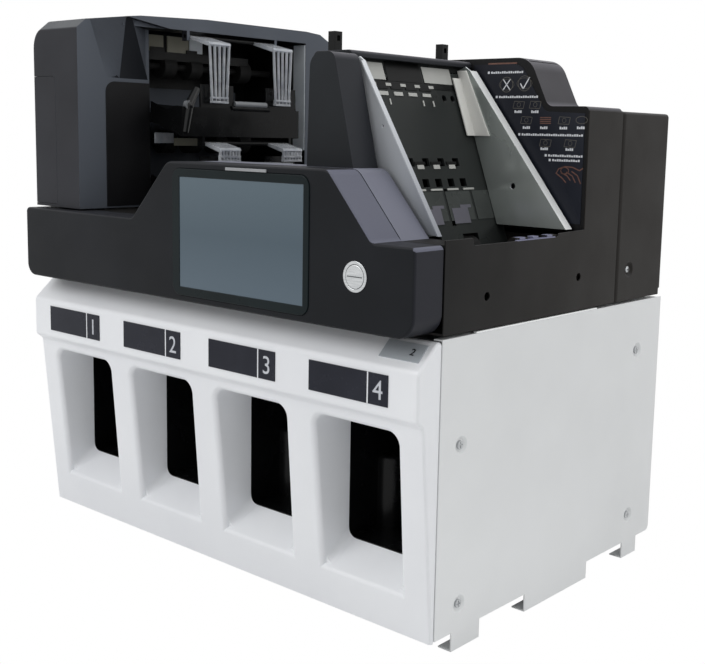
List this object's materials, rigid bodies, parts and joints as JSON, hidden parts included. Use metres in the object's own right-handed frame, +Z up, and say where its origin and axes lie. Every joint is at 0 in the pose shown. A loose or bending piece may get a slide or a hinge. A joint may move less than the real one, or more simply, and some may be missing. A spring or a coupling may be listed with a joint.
{
  "type": "banknote counting machine",
  "caption": "Desktop banknote counter and sorter: hinged black upper unit with hopper, screen and reject pockets over a white module with stacking pockets.",
  "frame": {"origin": "on the table, under the middle of the machine", "axes": "+X to the machine's right seen from the front, +Y to the rear, +Z up"},
  "size_m": [0.584, 0.436, 0.593],
  "materials": {
    "white_sheet": "satin",
    "white_moulding": "satin",
    "black_moulding": "fine texture",
    "black_sheet": "matt",
    "gloss_black": "gloss",
    "display_tint": "gloss",
    "number_tile": "satin",
    "badge_grey": "satin",
    "zinc_steel": "satin",
    "frame_steel": "satin",
    "rubber_roller": "matt",
    "blade_green": "satin",
    "belt_rubber": "matt",
    "motor_can": "satin",
    "circuit_green": "satin",
    "screen_glass": "gloss",
    "screen_border": "gloss",
    "button_silver": "brushed",
    "guide_grey": "satin",
    "bracket_grey": "satin",
    "plate_navy": "satin",
    "clear_plastic": "clear"
  },
  "bodies": {
    "lower_module": {"side_panel_left": "white_sheet", "side_panel_right": "white_sheet", "base_pan": "white_sheet", "mains_inlet": "gloss_black", "lower_frame": "frame_steel", "panel_screws": "zinc_steel", "front_bezel": "white_moulding", "display_windows": "display_tint", "number_tiles": "number_tile", "latch_badge": "badge_grey", "pocket_liners": "gloss_black", "transport_plate": "frame_steel", "transport_belt": "belt_rubber", "drive_motor": "motor_can", "power_supply": "frame_steel", "control_board": "circuit_green", "hinge_leaves_lower": "zinc_steel"},
    "upper_unit": {"front_cover": "black_moulding", "screen_frame": "screen_border", "lcd_panel": "screen_glass", "button_ring": "button_silver", "console_housing": "black_moulding", "upper_deck": "black_sheet", "upper_frame": "black_sheet", "side_cover_right": "black_sheet", "side_cover_left": "black_sheet", "rear_cover": "black_sheet", "hinge_leaves_upper": "zinc_steel", "rear_housing": "black_moulding", "instruction_plate": "plate_navy", "electronics_box": "black_sheet", "hopper_tower": "black_moulding", "hopper_ridge": "black_moulding", "hopper_back_plate": "black_moulding", "hopper_floor": "black_sheet", "left_housing": "black_moulding", "cheek_panel": "black_moulding", "reject_tray_upper": "gloss_black", "reject_tray_lower": "gloss_black"},
    "access_door": {"access_door": "black_moulding"},
    "power_button": {"power_button": "button_silver"},
    "front_guide": {"note_guide_front": "guide_grey"},
    "rear_guide": {"note_guide_rear": "guide_grey", "guide_bracket": "bracket_grey"},
    "pickup_roller": {"pickup_roller": "rubber_roller"},
    "feed_roller": {"feed_roller": "rubber_roller"},
    "finger_stops_upper": {"finger_stops_upper": "clear_plastic"},
    "finger_stops_lower": {"finger_stops_lower": "clear_plastic"},
    "reject_roller_upper": {"reject_roller_upper": "rubber_roller"},
    "reject_roller_lower": {"reject_roller_lower": "rubber_roller"},
    "transport_shaft_1": {"transport_shaft_1": "zinc_steel"},
    "transport_shaft_2": {"transport_shaft_2": "zinc_steel"},
    "stacker_wheel_1": {"stacker_wheel_1": "blade_green"},
    "diverter_gate_1": {"diverter_gate_1": "black_moulding"},
    "stacker_wheel_2": {"stacker_wheel_2": "blade_green"},
    "diverter_gate_2": {"diverter_gate_2": "black_moulding"},
    "stacker_wheel_3": {"stacker_wheel_3": "blade_green"},
    "diverter_gate_3": {"diverter_gate_3": "black_moulding"},
    "stacker_wheel_4": {"stacker_wheel_4": "blade_green"},
    "diverter_gate_4": {"diverter_gate_4": "black_moulding"}
  },
  "joints": [
    {"name": "upper_unit_lift", "type": "hinge", "parent": "lower_module", "child": "upper_unit", "pos_m": [0, 0.2145, 0.2915], "axis": [-1, 0, 0], "range_deg": [0, 35]},
    {"name": "access_door_swing", "type": "hinge", "parent": "upper_unit", "child": "access_door", "pos_m": [-0.2905, 0.0985, 0.448], "axis": [0, 0, -1], "range_deg": [0, 90]},
    {"name": "power_button_press", "type": "slide", "parent": "upper_unit", "child": "power_button", "axis": [0, 1, 0], "range_m": [0, 0.0025], "stiffness_N_per_m": 400},
    {"name": "front_guide_slide", "type": "slide", "parent": "upper_unit", "child": "front_guide", "axis": [0, 1, 0], "range_m": [0, 0.04]},
    {"name": "rear_guide_slide", "type": "slide", "parent": "upper_unit", "child": "rear_guide", "axis": [0, -1, 0], "range_m": [0, 0.04]},
    {"name": "feed_roller_turn", "type": "hinge", "parent": "upper_unit", "child": "feed_roller", "pos_m": [0.20012, -0.04725, 0.313], "axis": [0, 1, 0], "continuous": true},
    {"name": "pickup_roller_turn", "type": "hinge", "parent": "upper_unit", "child": "pickup_roller", "pos_m": [0.19012, -0.04725, 0.34724], "axis": [0, 1, 0], "continuous": true},
    {"name": "upper_fingers_swing", "type": "hinge", "parent": "upper_unit", "child": "finger_stops_upper", "pos_m": [-0.176, -0.006, 0.57], "axis": [0, -1, 0], "range_deg": [0, 45]},
    {"name": "lower_fingers_swing", "type": "hinge", "parent": "upper_unit", "child": "finger_stops_lower", "pos_m": [-0.149, -0.006, 0.448], "axis": [0, -1, 0], "range_deg": [0, 45]},
    {"name": "upper_reject_roller_turn", "type": "hinge", "parent": "upper_unit", "child": "reject_roller_upper", "pos_m": [-0.242, 0.0045, 0.538], "axis": [0, 1, 0], "continuous": true},
    {"name": "lower_reject_roller_turn", "type": "hinge", "parent": "upper_unit", "child": "reject_roller_lower", "pos_m": [-0.242, 0.0045, 0.448], "axis": [0, 1, 0], "continuous": true},
    {"name": "transport_shaft_2_turn", "type": "hinge", "parent": "lower_module", "child": "transport_shaft_2", "pos_m": [0.14, -0.04, 0.2755], "axis": [0, 1, 0], "continuous": true},
    {"name": "transport_shaft_1_turn", "type": "hinge", "parent": "lower_module", "child": "transport_shaft_1", "pos_m": [-0.14, -0.04, 0.2755], "axis": [0, 1, 0], "continuous": true},
    {"name": "stacker_wheel_1_turn", "type": "hinge", "parent": "lower_module", "child": "stacker_wheel_1", "pos_m": [-0.2, -0.056, 0.245], "axis": [0, 1, 0], "continuous": true},
    {"name": "stacker_wheel_2_turn", "type": "hinge", "parent": "lower_module", "child": "stacker_wheel_2", "pos_m": [-0.06, -0.056, 0.245], "axis": [0, 1, 0], "continuous": true},
    {"name": "stacker_wheel_3_turn", "type": "hinge", "parent": "lower_module", "child": "stacker_wheel_3", "pos_m": [0.08, -0.056, 0.245], "axis": [0, 1, 0], "continuous": true},
    {"name": "stacker_wheel_4_turn", "type": "hinge", "parent": "lower_module", "child": "stacker_wheel_4", "pos_m": [0.22, -0.056, 0.245], "axis": [0, 1, 0], "continuous": true},
    {"name": "diverter_gate_1_tip", "type": "hinge", "parent": "lower_module", "child": "diverter_gate_1", "pos_m": [-0.24, -0.058, 0.2795], "axis": [0, -1, 0], "range_deg": [0, 12], "stiffness_Nm_per_rad": 0.05},
    {"name": "diverter_gate_2_tip", "type": "hinge", "parent": "lower_module", "child": "diverter_gate_2", "pos_m": [-0.1, -0.058, 0.2795], "axis": [0, -1, 0], "range_deg": [0, 12], "stiffness_Nm_per_rad": 0.05},
    {"name": "diverter_gate_3_tip", "type": "hinge", "parent": "lower_module", "child": "diverter_gate_3", "pos_m": [0.04, -0.058, 0.2795], "axis": [0, -1, 0], "range_deg": [0, 12], "stiffness_Nm_per_rad": 0.05},
    {"name": "diverter_gate_4_tip", "type": "hinge", "parent": "lower_module", "child": "diverter_gate_4", "pos_m": [0.18, -0.058, 0.2795], "axis": [0, -1, 0], "range_deg": [0, 12], "stiffness_Nm_per_rad": 0.05}
  ],
  "couplings": [
    {"joint": "rear_guide_slide", "follows": "front_guide_slide", "ratio": 1},
    {"joint": "pickup_roller_turn", "follows": "feed_roller_turn", "ratio": 1},
    {"joint": "lower_reject_roller_turn", "follows": "upper_reject_roller_turn", "ratio": 1},
    {"joint": "transport_shaft_1_turn", "follows": "transport_shaft_2_turn", "ratio": 1},
    {"joint": "stacker_wheel_1_turn", "follows": "transport_shaft_2_turn", "ratio": 0.25},
    {"joint": "stacker_wheel_2_turn", "follows": "transport_shaft_2_turn", "ratio": 0.25},
    {"joint": "stacker_wheel_3_turn", "follows": "transport_shaft_2_turn", "ratio": 0.25},
    {"joint": "stacker_wheel_4_turn", "follows": "transport_shaft_2_turn", "ratio": 0.25}
  ]
}
